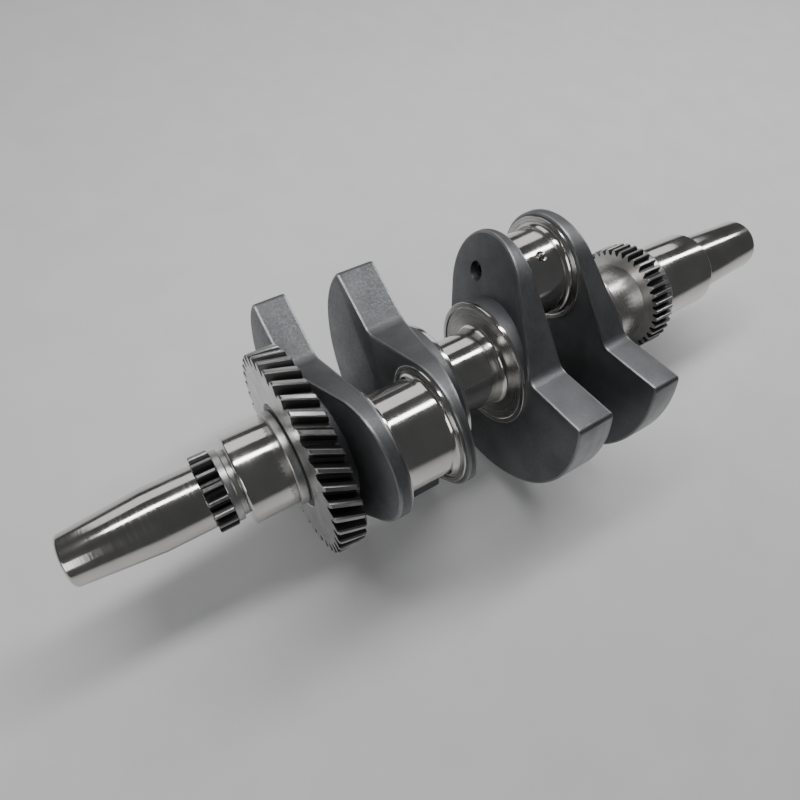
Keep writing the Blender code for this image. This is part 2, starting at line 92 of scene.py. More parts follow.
# Drive end
TAPER_TIP_RADIUS = 12.4 * MM
NOSE_RADIUS = 15.7 * MM
TAPER_TOP = -165.0 * MM
NOSE_END = -141.6 * MM
FRONT_SEAT_RADIUS = 11.5 * MM
TIMING_GEAR_END = -132.4 * MM
FRONT_COLLAR_RADIUS = 17.8 * MM
FRONT_COLLAR_STEP_RADIUS = 16.2 * MM
FRONT_COLLAR_STEP = 3.4 * MM
FRONT_MAIN_START = -126.0 * MM
FRONT_MAIN_END = -104.0 * MM
SPIGOT_RADIUS = 18.0 * MM
COLLAR_RADIUS = 24.3 * MM
GEAR_START = -99.3 * MM
GEAR_SEAT_RADIUS = 27.0 * MM
BOLT_BORE_RADIUS = 6.5 * MM
BOLT_BORE_DEPTH = 36.0 * MM
BOLT_COUNTERSINK = 8.5 * MM
THREAD_PITCH = 1.25 * MM
THREAD_DEPTH = 0.6 * MM

# Flywheel end
REAR_MAIN_END = 117.5 * MM
REAR_SEAT_RADIUS = 19.0 * MM
REAR_OIL_HOLE = 103.0 * MM
REAR_GEAR_END = 130.2 * MM
REAR_COLLAR_RADIUS = 27.5 * MM
REAR_COLLAR_END = 136.8 * MM
SEAL_LAND_RADIUS = 22.6 * MM
SEAL_LAND_END = 176.0 * MM
FLYWHEEL_TAPER_RADIUS = 18.0 * MM
FLYWHEEL_TIP_RADIUS = 15.7 * MM
END_CHAMFER = 2.6 * MM

# Gears
PRESSURE_ANGLE = math.radians(20)
BALANCER_TEETH = 38
BALANCER_MODULE = 2.4 * MM
BALANCER_HELIX = math.radians(24)
TIMING_TEETH = 17
TIMING_MODULE = 2.0 * MM
REAR_TEETH = 40
REAR_MODULE = 1.5 * MM

# Keys, plugs and oil holes
KEY_WIDTH = 5.0 * MM
KEY_DEPTH = 2.5 * MM
SMALL_KEY_DEPTH = 1.5 * MM
KEY_PLAY = 0.05 * MM
KEY_MARGIN = 1.5 * MM
BALANCER_KEY_START = 3.0 * MM
BALANCER_KEY_END = 2.0 * MM
FLYWHEEL_KEY_START = 14.0 * MM
FLYWHEEL_KEY_LENGTH = 16.0 * MM
FLYWHEEL_KEY_ANGLE = math.radians(-120)
PLUG_HOLE_RADIUS = 5.1 * MM
PLUG_RADIUS = 5.0 * MM
PLUG_LENGTH = 3.5 * MM
PLUG_DISTANCE = 48.0 * MM
PLUG_OFFSET = 6.0 * MM
PLUG_RECESS = 3.0 * MM
PLUG_SOCKET = 2.3 * MM
OIL_HOLE_RADIUS = 2.2 * MM
OIL_HOLE_DEPTH = 7.0 * MM
PIN_OIL_HOLE_ANGLE = math.radians(60)

# How closely the pieces meet, and their small edge breaks
CONTACT = 0.05 * MM
SINK = 0.4 * MM
BREAK = 0.5 * MM
OVERLAP = 2.0 * MM

# The gap that the CAD solids keep, and how far a cutter reaches past what it cuts
GAP = 0.3 * MM
CLEAR = 1.0 * MM

# Edge breaks and chamfers of single pieces
FINE_BREAK = 0.3 * MM
SMALL_BREAK = 0.4 * MM
COLLAR_BREAK = 0.8 * MM
NOSE_CHAMFER = 1.0 * MM
JOURNAL_CHAMFER = 0.8 * MM
REAR_COLLAR_CHAMFER = 2.0 * MM
SEAL_CHAMFER = 1.0 * MM
TOOTH_CHAMFER = 0.7 * MM
SMALL_TOOTH_CHAMFER = 0.5 * MM
BORE_FLARE = 0.6 * MM

# Webs: where the gear seat starts, how close the gear sits, and what still counts as the turned rim
SEAT_INSET = 0.1 * MM
GEAR_BACK = 0.1 * MM
RIM_TOLERANCE = 0.3 * MM

# Thrust shoulders and drilled holes
LIP = 0.45 * MM
LIP_STEP = 2.6 * MM
DRILL_POINT = 0.05 * MM
HOLE_FLARE_DEPTH = 0.9 * MM
HOLE_FLARE = 1.9 * MM

# Thread in the bolt bore: plain lead, last turn, run-out and the drill's tip
THREAD_LEAD = 1.5 * MM
THREAD_STOP = 3 * MM
THREAD_RUNOUT = 2.5 * MM
BORE_TIP = 0.3 * MM

# Material numbers on the meshes that carry more than one
MACHINED = 1
RIM = 2
GAP_SIDE = 2

# How nearly along the shaft a thrust face looks, and the angle that keeps a tooth edge sharp
THRUST_FACING = 0.9
TOOTH_SMOOTH = 28


# ---------------------------------------------------------------- materials


def new_material(name, colour, roughness, metallic=1.0):
    """A material with its node tree, its shader and a vector from the piece's own axis."""
    material = bpy.data.materials.new(name)
    material.use_nodes = True
    tree = material.node_tree
    shader = tree.nodes["Principled BSDF"]
    shader.inputs["Base Color"].default_value = (*colour, 1)
    shader.inputs["Roughness"].default_value = roughness
    shader.inputs["Metallic"].default_value = metallic
    place = tree.nodes.new("ShaderNodeTexCoord").outputs["Object"]
    return material, tree, shader, place


def noise(tree, place, scale, detail=3.0, stretch=None):
    """Noise of about `scale` features a metre, optionally stretched along the axes."""
    if stretch:
        mapping = tree.nodes.new("ShaderNodeMapping")
        mapping.inputs["Scale"].default_value = stretch
        tree.links.new(place, mapping.inputs["Vector"])
        place = mapping.outputs["Vector"]
    node = tree.nodes.new("ShaderNodeTexNoise")
    node.inputs["Scale"].default_value = scale
    node.inputs["Detail"].default_value = detail
    tree.links.new(place, node.inputs["Vector"])
    return node.outputs["Fac"]


def spread(tree, value, low, high, new_low, new_high):
    """Maps a value from one range to another, held at the ends."""
    node = tree.nodes.new("ShaderNodeMapRange")
    node.inputs["From Min"].default_value = low
    node.inputs["From Max"].default_value = high
    node.inputs["To Min"].default_value = new_low
    node.inputs["To Max"].default_value = new_high
    tree.links.new(value, node.inputs["Value"])
    return node.outputs["Result"]


def tint(tree, value, dark, light):
    ramp = tree.nodes.new("ShaderNodeValToRGB")
    ramp.color_ramp.elements[0].position = 0.3
    ramp.color_ramp.elements[1].position = 0.7
    ramp.color_ramp.elements[0].color = (*dark, 1)
    ramp.color_ramp.elements[1].color = (*light, 1)
    tree.links.new(value, ramp.inputs["Fac"])
    return ramp.outputs["Color"]


def bump(tree, height, distance, strength=1.0, normal=None):
    node = tree.nodes.new("ShaderNodeBump")
    node.inputs["Strength"].default_value = strength
    node.inputs["Distance"].default_value = distance
    tree.links.new(height, node.inputs["Height"])
    if normal is not None:
        tree.links.new(normal, node.inputs["Normal"])
    return node.outputs["Normal"]


def radius_lines(tree, place, scale):
    """Noise that changes only with the distance from the axis: the lines of a faced surface."""
    split = tree.nodes.new("ShaderNodeSeparateXYZ")
    tree.links.new(place, split.inputs["Vector"])
    flat = tree.nodes.new("ShaderNodeCombineXYZ")
    tree.links.new(split.outputs["Y"], flat.inputs["Y"])
    tree.links.new(split.outputs["Z"], flat.inputs["Z"])
    length = tree.nodes.new("ShaderNodeVectorMath")
    length.operation = "LENGTH"
    tree.links.new(flat.outputs["Vector"], length.inputs[0])
    along = tree.nodes.new("ShaderNodeCombineXYZ")
    tree.links.new(length.outputs["Value"], along.inputs["X"])
    tree.links.new(split.outputs["X"], along.inputs["Y"])
    return noise(tree, along.outputs["Vector"], scale, 2.0)


def forged_material():
    """Shot-blasted forging: fine pitting over a soft unevenness, with patches of scale."""
    material, tree, shader, place = new_material("forged_steel_blasted", (0.1, 0.1, 0.11), 0.5, 0.85)
    patches = noise(tree, place, 45, 5.0)
    colour = tint(tree, patches, (0.112, 0.115, 0.121), (0.175, 0.179, 0.186))
    tree.links.new(colour, shader.inputs["Base Color"])
    speckle = noise(tree, place, 900, 4.0)
    tree.links.new(spread(tree, speckle, 0.3, 0.7, 0.42, 0.6), shader.inputs["Roughness"])
    soft = bump(tree, patches, 0.0006, 0.35)
    grit = bump(tree, noise(tree, place, 2200, 2.0), 0.00012, 0.55, soft)
    tree.links.new(grit, shader.inputs["Normal"])
    return material


def ground_material(name, colour, low, high, lines=1800, depth=0.00002):
    """Ground and polished round surface: faint lines round the axis and a light smudging."""
    material, tree, shader, place = new_material(name, colour, low)
    dark = tuple(c * 0.86 for c in colour)
    smudge = noise(tree, place, 60, 4.0)
    tree.links.new(tint(tree, smudge, dark, colour), shader.inputs["Base Color"])
    line = noise(tree, place, lines, 2.0, (1.0, 0.02, 0.02))
    both = tree.nodes.new("ShaderNodeMath")
    both.operation = "MULTIPLY"
    tree.links.new(line, both.inputs[0])
    tree.links.new(smudge, both.inputs[1])
    rough = spread(tree, both.outputs["Value"], 0.12, 0.4, low, high)
    tree.links.new(rough, shader.inputs["Roughness"])
    tree.links.new(bump(tree, line, depth, 0.35), shader.inputs["Normal"])
    return material


def turned_material(name, colour, roughness, depth=0.00006):
    """Turned and faced surface: lines by distance from the axis and along it, with oil stains."""
    material, tree, shader, place = new_material(name, colour, roughness)
    stain = noise(tree, place, 80, 4.0)
    dark = tuple(c * 0.72 for c in colour)
    tree.links.new(tint(tree, stain, dark, colour), shader.inputs["Base Color"])
    lines = radius_lines(tree, place, 1500)
    rough = spread(tree, lines, 0.3, 0.7, roughness - 0.06, roughness + 0.1)
    tree.links.new(rough, shader.inputs["Roughness"])
    tree.links.new(bump(tree, lines, depth, 0.4), shader.inputs["Normal"])
    return material


def dark_material():
    """Black oxide: dark, slightly rubbed, with a fine grain."""
    material, tree, shader, place = new_material("black_oxide_steel", (0.04, 0.04, 0.045), 0.4, 0.9)
    rub = noise(tree, place, 350, 4.0)
    tree.links.new(tint(tree, rub, (0.03, 0.03, 0.034), (0.1, 0.1, 0.105)), shader.inputs["Base Color"])
    tree.links.new(spread(tree, rub, 0.3, 0.7, 0.32, 0.52), shader.inputs["Roughness"])
    tree.links.new(bump(tree, noise(tree, place, 3000), 0.00005, 0.4), shader.inputs["Normal"])
    return material


FORGED = forged_material()
POLISHED = ground_material("journal_steel_ground", (0.72, 0.7, 0.67), 0.07, 0.17)
REAR_GROUND = ground_material("rear_journal_ground_matt", (0.68, 0.66, 0.63), 0.24, 0.34)
THRUST = turned_material("thrust_face_ground", (0.5, 0.49, 0.48), 0.28)
TAPER = ground_material("taper_steel_ground", (0.66, 0.64, 0.61), 0.09, 0.18, 1400, 0.00003)
SATIN = turned_material("machined_steel_turned", (0.55, 0.55, 0.54), 0.32)
TOOTHED = turned_material("gear_steel_hobbed", (0.42, 0.42, 0.41), 0.36)
EDGE = turned_material("forging_edge_machined", (0.3, 0.305, 0.31), 0.4)
RIM_STEEL = turned_material("counterweight_rim_turned", (0.34, 0.345, 0.35), 0.38)
FACED = turned_material("gear_face_ground", (0.62, 0.62, 0.61), 0.3)
# Painted shade: the lower tooth flanks and roots get a near-black colour that stands for the shade
# falling in the tooth gaps
GAP_SHADE_PAINTED = turned_material("tooth_gap_painted_shade", (0.1, 0.1, 0.1), 0.46)
DARK = dark_material()
FORGING = (FORGED, EDGE, RIM_STEEL)
GEARED = (FACED, TOOTHED, GAP_SHADE_PAINTED)


# ---------------------------------------------------------------- geometry helpers


def mesh_from(name, build):
    bm = bmesh.new()
    build(bm)
    bmesh.ops.recalc_face_normals(bm, faces=bm.faces)
    mesh = bpy.data.meshes.new(name)
    bm.to_mesh(mesh)
    bm.free()
    return mesh


def join_rings(bm, first, second):
    faces = []
    for i in range(len(first)):
        j = (i + 1) % len(first)
        faces.append(bm.faces.new((first[i], first[j], second[j], second[i])))
    return faces


def softened(loop, size, closed=False, steps=3):
    """The profile with each corner sharper than 20 degrees rounded off by about `size`."""
    points = [Vector(p) for p in loop]
    if not size:
        return points
    made = []
    for i, corner in enumerate(points):
        if not closed and i in (0, len(points) - 1):
            made.append(corner)
            continue
        before = points[i - 1] - corner
        after = points[(i + 1) % len(points)] - corner
        turn = math.pi - before.angle(after)
        if turn < math.radians(20):
            made.append(corner)
            continue
        reach = min(size, before.length * 0.45, after.length * 0.45)
        start = corner + before.normalized() * reach
        end = corner + after.normalized() * reach
        for k in range(steps + 1):
            t = k / steps
            made.append((1 - t) ** 2 * start + 2 * t * (1 - t) * corner + t * t * end)
    return made


def turned(name, profile, bore=None, segments=ROUND, size=BREAK):
    """A solid turned about X: an open profile closed on the axis, or a ring when it has a bore."""
    if bore is None:
        loop = softened([(profile[0][0], 0), *profile, (profile[-1][0], 0)], size)[1:-1]
    else:
        ends = [(profile[-1][0], bore), (profile[0][0], bore)]
        loop = softened([*profile, *ends], size, closed=True)
    turn = 2 * math.pi / segments

    def build(bm):
        rings = []
        for x, r in loop:
            places = ((math.cos(i * turn), math.sin(i * turn)) for i in range(segments))
            rings.append([bm.verts.new((x, r * y, r * z)) for y, z in places])
        for first, second in zip(rings, rings[1:]):
            join_rings(bm, first, second)
        if bore is None:
            bm.faces.new(rings[0])
            bm.faces.new(rings[-1])
        else:
            join_rings(bm, rings[-1], rings[0])

    return mesh_from(name, build)


def finish(name, mesh, materials, nodes, centre=AXIS, smooth=35):
    """Puts the mesh in place as a piece that stands for these CAD nodes."""
    for material in materials:
        mesh.materials.append(material)
    piece = bpy.data.objects.new(name, mesh)
    piece.location = Vector((-MIDDLE, 0, COUNTERWEIGHT_RADIUS)) + centre
    bpy.context.scene.collection.objects.link(piece)
    smooth_shade(piece, smooth)
    bpy.context.view_layer.update()
    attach(piece, "root")
    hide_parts(*nodes)
    return piece


def smooth_shade(piece, angle):
    piece.data.shade_smooth()
    piece.data.set_sharp_from_angle(angle=math.radians(angle))


def carve(mesh, others, operation="DIFFERENCE"):
    """The mesh after an exact Boolean with each other mesh in turn."""
    piece = bpy.data.objects.new("blank", mesh)
    bpy.context.scene.collection.objects.link(piece)
    helpers = []
    for other in others:
        helper = bpy.data.objects.new("helper", other)
        bpy.context.scene.collection.objects.link(helper)
        helpers.append(helper)
        step = piece.modifiers.new("carve", "BOOLEAN")
        step.operation = operation
        step.solver = "EXACT"
        step.object = helper
    graph = bpy.context.evaluated_depsgraph_get()
    result = bpy.data.meshes.new_from_object(piece.evaluated_get(graph))
    for done in (*helpers, piece):
        bpy.data.objects.remove(done)
    return result


def key_body(start, end, seat_radius, depth, grow=0.0):
    """A parallel key with round ends, or the slot that it lies in when it is grown."""
    half = KEY_WIDTH / 2
    steps = 12
    outline = []
    for centre, base in ((end - half, -math.pi / 2), (start + half, math.pi / 2)):
        for k in range(steps + 1):
            angle = base + math.pi * k / steps
            reach = half + grow
            outline.append((centre + reach * math.cos(angle), reach * math.sin(angle)))

    def build(bm):
        bottom = [bm.verts.new((x, y, seat_radius - depth - grow)) for x, y in outline]
        top = [bm.verts.new((x, y, seat_radius + depth + grow)) for x, y in outline]
        bm.faces.new(bottom)
        bm.faces.new(top)
        join_rings(bm, bottom, top)
        if not grow:
            rims = [e for e in bm.edges if abs(e.verts[0].co.z - e.verts[1].co.z) < 1e-7]
            bmesh.ops.bevel(bm, geom=rims, offset=FINE_BREAK, segments=2, profile=0.5, affect="EDGES")

    return mesh_from("key", build)


def oil_hole(station, direction, surface_radius):
    """Cutter for a drilled oil hole with a countersunk, polished mouth."""
    profile = [
        (surface_radius - OIL_HOLE_DEPTH, DRILL_POINT),
        (surface_radius - OIL_HOLE_DEPTH + OIL_HOLE_RADIUS * 0.6, OIL_HOLE_RADIUS),
        (surface_radius - HOLE_FLARE_DEPTH, OIL_HOLE_RADIUS),
        (surface_radius + CLEAR, OIL_HOLE_RADIUS + HOLE_FLARE),
    ]
    mesh = turned("oil_hole", profile, segments=32, size=0)
    turn = Vector((1, 0, 0)).rotation_difference(direction).to_matrix().to_4x4()
    mesh.transform(Matrix.Translation((station, 0, 0)) @ turn)
    return mesh


def between(start, end, radius, shoulder, shoulder_radius):
    """Profile of a journal between two thrust shoulders, each with a raised lip and a fillet."""
    steps = 6
    lip = LIP
    step_in = shoulder_radius - LIP_STEP
    left = [
        (start, shoulder_radius),
        (start + shoulder, shoulder_radius),
        (start + shoulder, step_in),
        (start + shoulder - lip, step_in - lip),
    ]
    for k in range(steps + 1):
        angle = math.pi / 2 * k / steps
        x = start + shoulder - lip + (FILLET + lip) * (1 - math.cos(angle))
        left.append((x, radius + FILLET * (1 - math.sin(angle))))
    right = [(start + end - x, r) for x, r in reversed(left)]
    return left, right


# ---------------------------------------------------------------- webs


def arc_points(centre, radius, first, last, steps):
    made = []
    for k in range(steps + 1):
        angle = first + (last - first) * k / steps
        made.append(centre + radius * Vector((math.cos(angle), math.sin(angle))))
    return made


def rounded_corner(before, corner, after, radius, steps):
    to_before = (before - corner).normalized()
    to_after = (after - corner).normalized()
    half = to_before.angle(to_after) / 2
    middle = corner + (to_before + to_after).normalized() * radius / math.sin(half)
    reach = radius / math.tan(half)
    start = corner + to_before * reach - middle
    turn = (corner + to_after * reach - middle).angle_signed(start)
    return [middle + Matrix.Rotation(turn * k / steps, 2) @ start for k in range(steps + 1)]


def web_outline():
    """Closed outline of a web as (towards the pin, sideways)."""
    lobe = Vector((THROW, 0))
    sector = COUNTERWEIGHT_RADIUS * Vector((-math.cos(SECTOR_HALF_ANGLE), math.sin(SECTOR_HALF_ANGLE)))
    notch = NOTCH_RADIUS * Vector((-math.cos(NOTCH_ANGLE), math.sin(NOTCH_ANGLE)))
    edge = notch - sector
    flank = notch + edge * (FLANK_HALF_WIDTH - notch.y) / edge.y
    reach = lobe - flank
    tangent = math.asin(LOBE_RADIUS / reach.length) + math.atan2(reach.y, reach.x) + math.pi / 2
    touch = lobe + LOBE_RADIUS * Vector((math.cos(tangent), math.sin(tangent)))
    half = arc_points(lobe, LOBE_RADIUS, 0, tangent, 36)
    half += rounded_corner(touch, flank, sector, NOTCH_FILLET, 10)
    around = Vector((-sector.y, sector.x)).normalized()
    half += rounded_corner(flank, sector, sector + around * 0.02, SECTOR_CORNER, 5)
    start = math.atan2(half[-1].y, half[-1].x)
    half += arc_points(Vector((0, 0)), COUNTERWEIGHT_RADIUS, start, math.pi, 48)[1:]
    return half + [Vector((p.x, -p.y)) for p in reversed(half[1:-1])]


def web_blank(start, end, pin, bevel_side, bevel_depth):
    """A web with its lobe bevelled on one side, every edge broken, and the rim turned."""
    sideways = Vector((0, pin.z, -pin.y))
    outline = [(pin * p.x + sideways * p.y).yz for p in web_outline()]

    def build(bm):
        first = [bm.verts.new((start, *point)) for point in outline]
        last = [bm.verts.new((end, *point)) for point in outline]
        bm.faces.new(first)
        bm.faces.new(last)
        join_rings(bm, first, last)
        flat = end if bevel_side > 0 else start
        lower = Vector((flat, 0, 0)) + pin * BEVEL_START
        upper = Vector((flat - bevel_side * bevel_depth, 0, 0)) + pin * BEVEL_END
        outward = (upper - lower).cross(sideways).normalized()
        if outward.x * bevel_side < 0:
            outward = -outward
        everything = bm.verts[:] + bm.edges[:] + bm.faces[:]
        cut = bmesh.ops.bisect_plane(
            bm, geom=everything, plane_co=lower, plane_no=outward, clear_outer=True
        )
        rim = [item for item in cut["geom_cut"] if isinstance(item, bmesh.types.BMEdge)]
        bmesh.ops.edgeloop_fill(bm, edges=rim)
        bmesh.ops.recalc_face_normals(bm, faces=bm.faces)
        for face in bm.faces:
            middle = face.calc_center_median()
            across = Vector((0, middle.y, middle.z))
            outer = across.length > COUNTERWEIGHT_RADIUS - RIM_TOLERANCE
            if abs(face.normal.x) < 0.1 and outer and across.dot(pin) < 0:
                face.material_index = RIM
        sharp = [e for e in bm.edges if e.is_manifold and e.calc_face_angle(0) > math.radians(40)]
        bmesh.ops.bevel(
            bm,
            geom=sharp,
            offset=EDGE_CHAMFER,
            segments=2,
            profile=0.6,
            affect="EDGES",
            material=MACHINED,
            clamp_overlap=False,
        )

    return mesh_from("web", build)


def boss(flat, side):
    """Round boss that carries a thrust shoulder up to the web's full width over its bevel."""
    ends = sorted((flat + side * BOSS_PROUD, flat - side * BOSS_LENGTH))
    return turned("boss", [(x, MAIN_SHOULDER_RADIUS) for x in ends], size=FINE_BREAK)


def build_webs():
    seat_start = GEAR_START + SEAT_INSET
    seat = turned("seat", [(seat_start, GEAR_SEAT_RADIUS), (OVERLAP - OUTER_WEB_END, GEAR_SEAT_RADIUS)])
    key_start = GEAR_START + BALANCER_KEY_START
    key_end = -OUTER_WEB_END - GAP - BALANCER_KEY_END
    slot = key_body(key_start, key_end, GEAR_SEAT_RADIUS, KEY_DEPTH, KEY_PLAY)
    blank = web_blank(-OUTER_WEB_END, -OUTER_WEB_START, PIN_1, -1, OUTER_BEVEL_DEPTH)
    joined = carve(blank, [boss(-OUTER_WEB_END, -1), seat], "UNION")
    finish("web_1_forging", carve(joined, [slot]), FORGING, ["web_1"])

    slope = INNER_BEVEL_DEPTH / (BEVEL_END - BEVEL_START)
    surface = CENTRE_HALF + (PLUG_DISTANCE - BEVEL_START) * slope
    for number, pin, side in ((2, PIN_1, -1), (3, PIN_2, 1)):
        ends = sorted((side * CENTRE_HALF, side * INNER_WEB_END))
        sideways = Vector((0, pin.z, -pin.y))
        centre = pin * PLUG_DISTANCE + sideways * PLUG_OFFSET * side
        near = surface + PLUG_RECESS
        far = near + PLUG_LENGTH
        profile = [
            (side * (surface - 2 * OVERLAP), PLUG_HOLE_RADIUS + CLEAR),
            (side * (surface + CLEAR), PLUG_HOLE_RADIUS),
            (side * (far + CONTACT), PLUG_HOLE_RADIUS),
        ]
        hole = turned("gallery", sorted(profile), segments=48, size=0)
        hole.transform(Matrix.Translation(centre))
        blank = web_blank(*ends, pin, -side, INNER_BEVEL_DEPTH)
        joined = carve(blank, [boss(side * CENTRE_HALF, -side)], "UNION")
        name = f"web_{number}"
        finish(f"{name}_forging", carve(joined, [hole]), FORGING, [name])
        build_plug(number - 1, centre, side, near, far)
    blank = web_blank(OUTER_WEB_START, OUTER_WEB_END, PIN_2, 1, OUTER_BEVEL_DEPTH)
    joined = carve(blank, [boss(OUTER_WEB_END, 1)], "UNION")
    finish("web_4_forging", joined, FORGING, ["web_4"])


def build_plug(number, centre, side, near, far):
    """A gallery plug with a hexagon socket."""
    body = turned("plug", sorted([(side * near, PLUG_RADIUS), (side * far, PLUG_RADIUS)]), segments=48)
    low, high = sorted((side * (near - OVERLAP), side * (near + PLUG_LENGTH * 0.6)))
    socket = turned("socket", [(low, PLUG_SOCKET), (high, PLUG_SOCKET)], segments=6, size=0)
    mesh = carve(body, [socket])
    finish(f"gallery_plug_{number}", mesh, (DARK,), [f"oil_plug_{number}"], centre)


# ---------------------------------------------------------------- gears


def gear_loop(teeth, module, helix, limit):
    """Involute tooth outline with root fillets, held inside the given radius."""
    pressure = math.atan(math.tan(PRESSURE_ANGLE) / math.cos(helix))
    pitch = module / math.cos(helix) * teeth / 2
    base = pitch * math.cos(pressure)
    root = pitch - 1.25 * module
    tip = pitch + module

    def half_angle(radius):
        angle = math.acos(min(1, base / radius))
        start = math.tan(pressure) - pressure
        return math.pi / (2 * teeth) + start - (math.tan(angle) - angle)

    lowest = max(root + 0.25 * module, base)
    flank = []
    for k in range(4):
        t = k / 4
        spread_out = 0.28 * module * (1 - t) ** 2 / root
        flank.append((root + (lowest - root) * t * t, half_angle(lowest) + spread_out))
    flank += [(lowest + (tip - lowest) * k / 6, 0) for k in range(6)]
    flank = [(r, a or half_angle(r)) for r, a in flank]
    flank += [(tip - 0.08 * module, half_angle(tip - 0.08 * module)), (tip, half_angle(tip) * 0.85)]
    points = []
    for i in range(teeth):
        middle = 2 * math.pi * i / teeth
        tooth = [(r, middle - a) for r, a in flank] + [(r, middle + a) for r, a in reversed(flank)]
        points += [(min(r, limit), a) for r, a in tooth]
    return [(r * math.cos(a), r * math.sin(a)) for r, a in points]


def gear_blank(teeth, module, start, end, helix=0.0, layers=1, chamfer=TOOTH_CHAMFER):
    """Toothed disc with chamfered tooth ends, twisted along the helix."""
    pitch = module * teeth / 2 / math.cos(helix)
    tip = pitch + module
    rate = math.tan(helix) / pitch
    stations = [(start, tip - chamfer), (start + chamfer, tip)]
    inner = end - start - 2 * chamfer
    stations += [(start + chamfer + inner * k / layers, tip) for k in range(1, layers + 1)]
    stations.append((end, tip - chamfer))

    def build(bm):
        rings = []
        for x, limit in stations:
            turn = Matrix.Rotation((x - start) * rate, 2)
            loop = gear_loop(teeth, module, helix, limit)
            rings.append([bm.verts.new((x, *(turn @ Vector(p)))) for p in loop])
        for first, second in zip(rings, rings[1:]):
            for face in join_rings(bm, first, second):
                lowest = min(v.co.yz.length for v in face.verts)
                # Faces low in the tooth gaps take the gap material, which paints shade into the gaps;
                # the tips and upper flanks keep the lighter tooth steel
                face.material_index = MACHINED if lowest > tip - chamfer - 0.2 * module else GAP_SIDE
        bm.faces.new(rings[0])
        bm.faces.new(rings[-1])

    return mesh_from("gear", build)


def bore_cutter(start, end, radius, flare=BORE_FLARE):
    """A straight bore with a chamfer at both mouths."""
    out = CLEAR
    profile = [
        (start - out, radius + flare + out),
        (start + flare, radius),
        (end - flare, radius),
        (end + out, radius + flare + out),
    ]
    return turned("bore", profile, segments=96, size=0)


def build_gears():
    end = -OUTER_WEB_END - GEAR_BACK
    bore = GEAR_SEAT_RADIUS + CONTACT
    blank = gear_blank(BALANCER_TEETH, BALANCER_MODULE, GEAR_START, end, BALANCER_HELIX, 4)
    key = (GEAR_START + BALANCER_KEY_START, -OUTER_WEB_END - GAP - BALANCER_KEY_END)
    slot = key_body(*key, GEAR_SEAT_RADIUS, KEY_DEPTH, KEY_PLAY)
    mesh = carve(blank, [bore_cutter(GEAR_START, end, bore), slot])
    nodes = ["balancer_gear"]
    finish("balancer_gear_helical", mesh, GEARED, nodes, smooth=TOOTH_SMOOTH)
    mesh = key_body(*key, GEAR_SEAT_RADIUS, KEY_DEPTH)
    finish("balancer_gear_key_steel", mesh, (DARK,), ["balancer_gear_key"])

    start = NOSE_END + CONTACT
    key = (NOSE_END + GAP + KEY_MARGIN, TIMING_GEAR_END - KEY_MARGIN)
    bore = FRONT_SEAT_RADIUS + CONTACT
    blank = gear_blank(TIMING_TEETH, TIMING_MODULE, start, TIMING_GEAR_END, chamfer=SMALL_TOOTH_CHAMFER)
    slot = key_body(*key, FRONT_SEAT_RADIUS, SMALL_KEY_DEPTH, KEY_PLAY)
    mesh = carve(blank, [bore_cutter(start, TIMING_GEAR_END, bore), slot])
    finish("timing_gear_spur", mesh, GEARED, ["timing_gear"], smooth=TOOTH_SMOOTH)
    mesh = key_body(*key, FRONT_SEAT_RADIUS, SMALL_KEY_DEPTH)
    finish("timing_gear_key_steel", mesh, (DARK,), ["timing_gear_key"])

    start = REAR_MAIN_END + CONTACT
    key = (REAR_MAIN_END + GAP + KEY_MARGIN, REAR_GEAR_END - KEY_MARGIN)
    bore = REAR_SEAT_RADIUS + CONTACT
    blank = gear_blank(REAR_TEETH, REAR_MODULE, start, REAR_GEAR_END, chamfer=SMALL_TOOTH_CHAMFER)
    slot = key_body(*key, REAR_SEAT_RADIUS, KEY_DEPTH, KEY_PLAY)
    mesh = carve(blank, [bore_cutter(start, REAR_GEAR_END, bore), slot])
    finish("oil_pump_gear_spur", mesh, GEARED, ["oil_pump_gear"], smooth=TOOTH_SMOOTH)
    mesh = key_body(*key, REAR_SEAT_RADIUS, KEY_DEPTH)
    finish("oil_pump_gear_key_steel", mesh, (DARK,), ["oil_pump_gear_key"])


# ---------------------------------------------------------------- journals and shaft ends


def face_shoulders(mesh):
    """Gives the flat thrust faces, which look along the shaft, the journal's second material."""
    for face in mesh.polygons:
        if abs(face.normal.x) > THRUST_FACING:
            face.material_index = MACHINED
    return mesh


def build_journals():
    half = CENTRE_HALF + SINK
    left, right = between(-half, half, CENTRE_MAIN_RADIUS, MAIN_SHOULDER + SINK, MAIN_SHOULDER_RADIUS)
    blank = turned("journal", left + right, size=FINE_BREAK)
    mesh = carve(blank, [oil_hole(0, -PIN_1, CENTRE_MAIN_RADIUS)])
    mesh = face_shoulders(mesh)
    finish("centre_journal_ground", mesh, (POLISHED, THRUST), ["centre_main_journal"])
    for number, pin, side in ((1, PIN_1, -1), (2, PIN_2, 1)):
        ends = sorted((side * (INNER_WEB_END - SINK), side * (OUTER_WEB_START + SINK)))
        left, right = between(*ends, PIN_RADIUS, PIN_SHOULDER + SINK, PIN_SHOULDER_RADIUS)
        sideways = Vector((0, pin.z, -pin.y))
        direction = pin * math.cos(PIN_OIL_HOLE_ANGLE) - sideways * math.sin(PIN_OIL_HOLE_ANGLE)
        blank = turned("pin", left + right, size=FINE_BREAK)
        mesh = carve(blank, [oil_hole(sum(ends) / 2, direction, PIN_RADIUS)])
        name = f"crankpin_{number}"
        mesh = face_shoulders(mesh)
        finish(f"{name}_ground", mesh, (POLISHED, THRUST), [name], pin * THROW)


